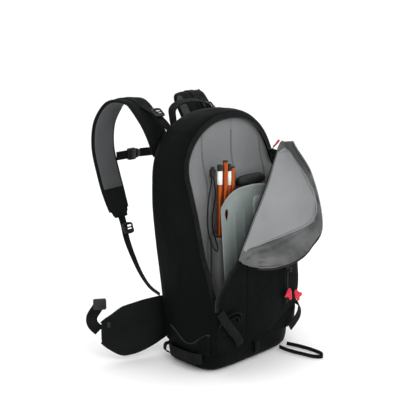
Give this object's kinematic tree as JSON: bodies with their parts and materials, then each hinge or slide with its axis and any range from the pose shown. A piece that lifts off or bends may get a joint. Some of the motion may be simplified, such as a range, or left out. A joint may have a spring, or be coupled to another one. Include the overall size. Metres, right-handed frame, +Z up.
{
  "type": "ski-touring backpack",
  "caption": "Tall rounded ski-touring backpack standing on its base, tool pocket unzipped to show probe and shovel, with padded shoulder straps and hip belt.",
  "frame": {"origin": "middle of the flat underside of the base, on the ground", "axes": "+Z up, -Y out of the tool-pocket front, +Y towards the wearer, -X to the wearer's left"},
  "size_m": [0.5466, 0.4525, 0.5767],
  "materials": {
    "pack_fabric": "matte woven nylon",
    "coated_fabric": "coated reinforced nylon",
    "lining": "matte light grey lining",
    "padded_mesh": "padded mesh and nylon",
    "webbing": "woven nylon webbing",
    "cord": "braided cord",
    "red_tab": "moulded matte red",
    "black_plastic": "moulded acetal",
    "frame_plastic": "smooth sheet",
    "orange_anodised": "orange anodised tube",
    "aluminium": "brushed anodised"
  },
  "bodies": {
    "bag": {"side_panel_left": "pack_fabric", "side_panel_right": "pack_fabric", "top_panel": "pack_fabric", "base_boot": "coated_fabric", "tool_pocket_lining": "lining", "tool_pocket_zip_tape": "webbing", "front_pocket_panel": "pack_fabric", "tool_sleeve": "coated_fabric", "cord_lock_body": "black_plastic", "retention_cord": "cord", "front_zip_tape": "webbing", "ski_loop_left": "webbing", "ski_loop_right": "webbing", "compression_strap_left": "webbing", "compression_strap_right": "webbing", "side_buckle_socket": "black_plastic"},
    "flap": {"tool_pocket_flap": "lining"},
    "flap_slider": {"flap_zip_slider": "black_plastic"},
    "flap_pull": {"flap_zip_pull": "red_tab"},
    "front_slider_1": {"front_zip_slider_1": "black_plastic"},
    "front_pull_1": {"front_pull_cord_1": "cord", "front_pull_tab_1": "red_tab"},
    "front_slider_2": {"front_zip_slider_2": "black_plastic"},
    "front_pull_2": {"front_pull_cord_2": "cord", "front_pull_tab_2": "red_tab"},
    "probe": {"probe_segment_1": "orange_anodised", "probe_segment_2": "orange_anodised", "probe_segment_3": "orange_anodised", "probe_segment_4": "orange_anodised"},
    "blade": {"shovel_blade": "aluminium"},
    "handle": {"shovel_shaft": "aluminium", "shovel_grip": "black_plastic"},
    "lock_button": {"cord_lock_button": "black_plastic"},
    "haul": {"haul_loop": "webbing"},
    "axe_loop": {"ice_axe_loop": "webbing"},
    "back_panel": {"back_panel_pad": "padded_mesh", "frame_sheet": "frame_plastic", "frame_stay": "aluminium", "lumbar_pad": "padded_mesh"},
    "strap_left": {"shoulder_pad_left": "padded_mesh", "shoulder_webbing_left": "webbing", "load_lifter_left": "webbing", "lifter_lock_left": "black_plastic", "lower_lock_left": "black_plastic", "sternum_webbing_left": "webbing", "sternum_buckle": "black_plastic", "sternum_webbing_right": "webbing", "sternum_clip": "black_plastic"},
    "strap_right": {"shoulder_pad_right": "padded_mesh", "shoulder_webbing_right": "webbing", "load_lifter_right": "webbing", "lifter_lock_right": "black_plastic", "lower_lock_right": "black_plastic"},
    "wing_left": {"hipbelt_wing_left": "padded_mesh"},
    "wing_right": {"hipbelt_wing_right": "padded_mesh"},
    "belt_left": {"hipbelt_webbing_left": "webbing", "hipbelt_buckle_left": "black_plastic"},
    "belt_right": {"hipbelt_webbing_right": "webbing", "hipbelt_buckle_right": "black_plastic"},
    "hip_slider": {"hip_pocket_slider": "black_plastic"}
  },
  "joints": [
    {"name": "flap_hinge", "type": "hinge", "parent": "bag", "child": "flap", "pos_m": [0.096, -0.074, 0.462], "axis": [-0.6261, -0.1831, -0.7579], "range_deg": [0, 95]},
    {"name": "flap_slider_slide", "type": "slide", "parent": "bag", "child": "flap_slider", "axis": [0.2873, 0, -0.9578], "range_m": [-0.016, 0.006]},
    {"name": "flap_pull_swing", "type": "hinge", "parent": "flap_slider", "child": "flap_pull", "pos_m": [0.13, -0.041, 0.461], "axis": [1, 0, 0], "range_deg": [-60, 10]},
    {"name": "front_slider_1_slide", "type": "slide", "parent": "bag", "child": "front_slider_1", "axis": [0, 0, -1], "range_m": [-0.004, 0.024]},
    {"name": "front_pull_1_swing", "type": "hinge", "parent": "front_slider_1", "child": "front_pull_1", "pos_m": [0.0865, -0.13, 0.198], "axis": [-1, 0, 0], "range_deg": [0, 110]},
    {"name": "front_slider_2_slide", "type": "slide", "parent": "bag", "child": "front_slider_2", "axis": [0, 0, -1], "range_m": [-0.01, 0.024]},
    {"name": "front_pull_2_swing", "type": "hinge", "parent": "front_slider_2", "child": "front_pull_2", "pos_m": [0.0975, -0.13, 0.189], "axis": [-1, 0, 0], "range_deg": [0, 110]},
    {"name": "probe_lift", "type": "slide", "parent": "bag", "child": "probe", "axis": [0, 0, 1], "range_m": [0, 0.36]},
    {"name": "blade_lift", "type": "slide", "parent": "bag", "child": "blade", "axis": [-0.0598, 0.0498, 0.997], "range_m": [0, 0.045]},
    {"name": "handle_lift", "type": "slide", "parent": "bag", "child": "handle", "axis": [0, 0, 1], "range_m": [0, 0.3]},
    {"name": "lock_button_press", "type": "slide", "parent": "bag", "child": "lock_button", "axis": [0, 0, -1], "range_m": [0, 0.0028], "stiffness_N_per_m": 200},
    {"name": "haul_loop_hinge", "type": "hinge", "parent": "bag", "child": "haul", "pos_m": [0, 0.09, 0.534], "axis": [-1, 0, 0], "range_deg": [-20, 55], "stiffness_Nm_per_rad": 0.3},
    {"name": "axe_loop_hinge", "type": "hinge", "parent": "bag", "child": "axe_loop", "pos_m": [0.098, -0.107, 0.006], "axis": [-1, 0, 0], "range_deg": [0, 60]},
    {"name": "back_panel_hinge", "type": "hinge", "parent": "bag", "child": "back_panel", "pos_m": [0, 0.066, 0.06], "axis": [-1, 0, 0], "range_deg": [0, 35]},
    {"name": "strap_left_swing", "type": "hinge", "parent": "back_panel", "child": "strap_left", "pos_m": [-0.074, 0.11, 0.44], "axis": [0.16, 0.0068, 0.9871], "range_deg": [0, 14], "stiffness_Nm_per_rad": 3},
    {"name": "strap_right_swing", "type": "hinge", "parent": "back_panel", "child": "strap_right", "pos_m": [0.074, 0.11, 0.44], "axis": [0.16, -0.0068, -0.9871], "range_deg": [0, 14], "stiffness_Nm_per_rad": 3},
    {"name": "wing_left_swing", "type": "hinge", "parent": "back_panel", "child": "wing_left", "pos_m": [-0.118, 0.082, 0.084], "axis": [0, 0, -1], "range_deg": [-6, 55]},
    {"name": "wing_right_swing", "type": "hinge", "parent": "back_panel", "child": "wing_right", "pos_m": [0.118, 0.082, 0.084], "axis": [0, 0, 1], "range_deg": [-6, 55]},
    {"name": "belt_left_flex", "type": "hinge", "parent": "wing_left", "child": "belt_left", "pos_m": [-0.262, 0.147, 0.088], "axis": [-0.8211, 0.5708, 0], "range_deg": [-10, 60], "stiffness_Nm_per_rad": 0.2},
    {"name": "belt_right_flex", "type": "hinge", "parent": "wing_right", "child": "belt_right", "pos_m": [0.262, 0.147, 0.088], "axis": [-0.8211, -0.5708, 0], "range_deg": [-10, 60], "stiffness_Nm_per_rad": 0.2},
    {"name": "hip_slider_slide", "type": "slide", "parent": "wing_left", "child": "hip_slider", "axis": [0.8211, -0.5708, 0], "range_m": [0, 0.02]}
  ]
}
